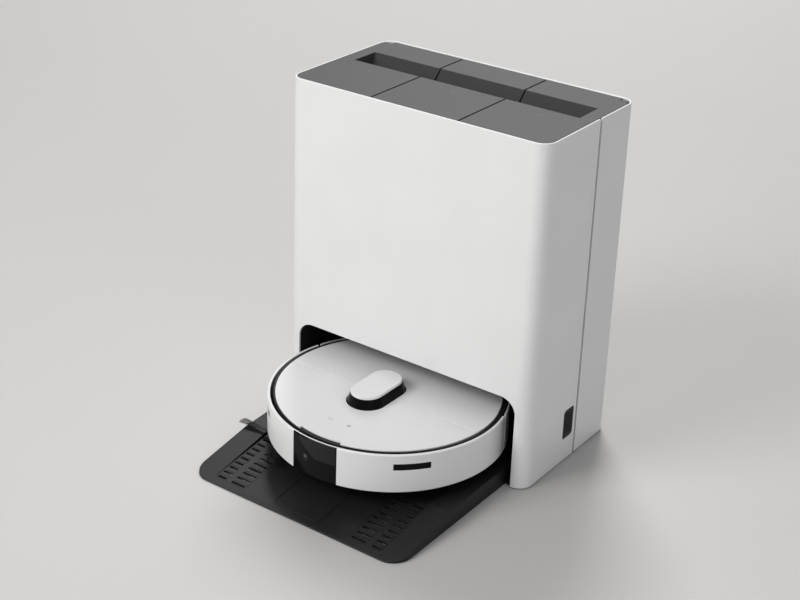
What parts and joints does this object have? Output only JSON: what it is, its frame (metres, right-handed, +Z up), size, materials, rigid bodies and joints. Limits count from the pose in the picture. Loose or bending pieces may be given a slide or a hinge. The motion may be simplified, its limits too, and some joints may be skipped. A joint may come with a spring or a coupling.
{
  "type": "robot vacuum with docking station",
  "caption": "Round robot vacuum with a lidar turret, mopping discs and bumper, parked on the ramp of a tall self-emptying and mop-washing station.",
  "frame": {"origin": "centre of the footprint of station and ramp, on the floor", "axes": "+Z up, the robot faces -Y and drives out that way, +X to the right seen from the front"},
  "size_m": [0.44, 0.504, 0.535],
  "materials": {
    "shell_white": "smooth satin moulded finish",
    "lid_grey": "fine-grained matte finish",
    "ramp_black": "satin textured finish",
    "inner_black": "plain moulded finish",
    "frame_grey": "plain moulded finish",
    "smoke_window": "polished dark tinted window",
    "clear_tank": "translucent smoked tank plastic",
    "waste_tank": "darker translucent tank plastic",
    "pump_grey": "plain moulded finish",
    "hose_clear": "soft translucent hose",
    "soft_black": "soft matte rubber",
    "tyre_rubber": "matte rubber tread",
    "pcb_green": "solder-masked board",
    "screw_steel": "zinc plated",
    "contact_metal": "plated contact",
    "bag_fabric": "nonwoven felt",
    "bag_card": "stiff card plate",
    "mop_cloth": "short microfibre pile",
    "filter_paper": "pleated filter media"
  },
  "bodies": {
    "station": {"front_shell": "shell_white", "rear_shell": "shell_white", "side_vents": "inner_black", "inner_frame": "inner_black", "bay_liner": "inner_black", "base_ramp": "ramp_black", "ramp_treads": "ramp_black", "ramp_centre_panel": "ramp_black", "wash_tray": "ramp_black", "dock_feet": "soft_black", "dock_screws": "screw_steel", "power_inlet": "inner_black", "power_board": "pcb_green", "suction_housing": "pump_grey", "dust_duct": "inner_black", "dust_bag": "bag_fabric", "dust_bag_collar": "bag_card", "water_pumps": "pump_grey", "water_hoses": "hose_clear"},
    "fan_wheel": {"suction_impeller": "frame_grey"},
    "contact_carrier": {"charge_contacts": "contact_metal"},
    "bag_lid": {"dust_lid": "lid_grey"},
    "clean_tank_body": {"clean_tank": "clear_tank"},
    "clean_tank_lid": {"clean_lid": "lid_grey"},
    "clean_valve": {"clean_tank_valve": "frame_grey"},
    "dirty_tank_body": {"dirty_tank": "waste_tank"},
    "dirty_tank_lid": {"dirty_lid": "lid_grey"},
    "waste_float": {"dirty_tank_float": "frame_grey"},
    "robot": {"robot_chassis": "inner_black", "robot_deck": "inner_black", "rear_panel": "shell_white", "robot_contacts": "contact_metal", "lidar_skirt": "smoke_window", "lidar_cap": "shell_white", "lidar_motor": "frame_grey", "camera_module": "inner_black", "dustbin": "waste_tank", "robot_fan": "inner_black", "battery": "inner_black", "main_board": "pcb_green", "brush_guard": "frame_grey", "robot_screws": "screw_steel"},
    "cover": {"top_cover": "shell_white"},
    "bumper_body": {"bumper": "shell_white", "bumper_windows": "smoke_window"},
    "lidar": {"lidar_head": "inner_black"},
    "roller": {"main_brush": "soft_black"},
    "edge_brush": {"side_brush": "soft_black"},
    "caster_swivel": {"caster_fork": "inner_black"},
    "caster_roller": {"caster_wheel": "tyre_rubber"},
    "left_arm": {"left_wheel_arm": "inner_black"},
    "left_wheel": {"left_wheel_hub": "frame_grey", "left_tyre": "tyre_rubber"},
    "left_mop": {"left_mop_plate": "frame_grey", "left_mop_pad": "mop_cloth"},
    "right_arm": {"right_wheel_arm": "inner_black"},
    "right_wheel": {"right_wheel_hub": "frame_grey", "right_tyre": "tyre_rubber"},
    "right_mop": {"right_mop_plate": "frame_grey", "right_mop_pad": "mop_cloth"}
  },
  "joints": [
    {"name": "fan_spin", "type": "hinge", "parent": "station", "child": "fan_wheel", "pos_m": [0, 0.11, 0.226], "axis": [0, 0, 1], "continuous": true},
    {"name": "contacts_press", "type": "slide", "parent": "station", "child": "contact_carrier", "axis": [0, 1, 0], "range_m": [0, 0.002], "stiffness_N_per_m": 400},
    {"name": "bag_lid_open", "type": "hinge", "parent": "station", "child": "bag_lid", "pos_m": [0, 0.2424, 0.5295], "axis": [-1, 0, 0], "range_deg": [0, 90]},
    {"name": "clean_tank_lift", "type": "slide", "parent": "station", "child": "clean_tank_body", "axis": [0, 0, 1], "range_m": [0, 0.35]},
    {"name": "clean_lid_open", "type": "hinge", "parent": "clean_tank_body", "child": "clean_tank_lid", "pos_m": [-0.14595, 0.2424, 0.5295], "axis": [-1, 0, 0], "range_deg": [0, 90]},
    {"name": "clean_valve_close", "type": "slide", "parent": "clean_tank_body", "child": "clean_valve", "axis": [0, 0, 1], "range_m": [-0.003, 0], "stiffness_N_per_m": 60, "springref_m": -0.003},
    {"name": "dirty_tank_lift", "type": "slide", "parent": "station", "child": "dirty_tank_body", "axis": [0, 0, 1], "range_m": [0, 0.35]},
    {"name": "dirty_lid_open", "type": "hinge", "parent": "dirty_tank_body", "child": "dirty_tank_lid", "pos_m": [0.14595, 0.2424, 0.5295], "axis": [-1, 0, 0], "range_deg": [0, 90]},
    {"name": "float_rise", "type": "hinge", "parent": "dirty_tank_body", "child": "waste_float", "pos_m": [0.145, 0.062, 0.44], "axis": [1, 0, 0], "range_deg": [0, 35]},
    {"name": "robot_drive_out", "type": "slide", "parent": "station", "child": "robot", "axis": [0, -1, 0], "range_m": [0, 0.45]},
    {"name": "cover_lift", "type": "slide", "parent": "robot", "child": "cover", "axis": [0, 0, 1], "range_m": [0, 0.03]},
    {"name": "bumper_press", "type": "slide", "parent": "robot", "child": "bumper_body", "axis": [0, 1, 0], "range_m": [0, 0.004], "stiffness_N_per_m": 300},
    {"name": "lidar_spin", "type": "hinge", "parent": "robot", "child": "lidar", "pos_m": [-0.008, -0.061, 0.1043], "axis": [0, 0, 1], "continuous": true},
    {"name": "roller_spin", "type": "hinge", "parent": "robot", "child": "roller", "pos_m": [0, -0.065, 0.0453], "axis": [1, 0, 0], "continuous": true},
    {"name": "edge_brush_spin", "type": "hinge", "parent": "robot", "child": "edge_brush", "pos_m": [-0.124, -0.127, 0.0303], "axis": [0, 0, 1], "continuous": true},
    {"name": "caster_turn", "type": "hinge", "parent": "robot", "child": "caster_swivel", "pos_m": [0, -0.155, 0.0443], "axis": [0, 0, 1], "continuous": true},
    {"name": "caster_roll", "type": "hinge", "parent": "caster_swivel", "child": "caster_roller", "pos_m": [0, -0.148, 0.0343], "axis": [1, 0, 0], "continuous": true},
    {"name": "left_arm_swing", "type": "hinge", "parent": "robot", "child": "left_arm", "pos_m": [-0.096, -0.071, 0.0623], "axis": [1, 0, 0], "range_deg": [0, 7], "stiffness_Nm_per_rad": 3},
    {"name": "left_wheel_spin", "type": "hinge", "parent": "left_arm", "child": "left_wheel", "pos_m": [-0.116, -0.023, 0.0573], "axis": [1, 0, 0], "continuous": true},
    {"name": "left_mop_spin", "type": "hinge", "parent": "robot", "child": "left_mop", "pos_m": [-0.072, 0.062, 0.0303], "axis": [0, 0, 1], "continuous": true},
    {"name": "right_arm_swing", "type": "hinge", "parent": "robot", "child": "right_arm", "pos_m": [0.096, -0.071, 0.0623], "axis": [1, 0, 0], "range_deg": [0, 7], "stiffness_Nm_per_rad": 3},
    {"name": "right_wheel_spin", "type": "hinge", "parent": "right_arm", "child": "right_wheel", "pos_m": [0.116, -0.023, 0.0573], "axis": [1, 0, 0], "continuous": true},
    {"name": "right_mop_spin", "type": "hinge", "parent": "robot", "child": "right_mop", "pos_m": [0.072, 0.062, 0.0303], "axis": [0, 0, 1], "continuous": true}
  ]
}
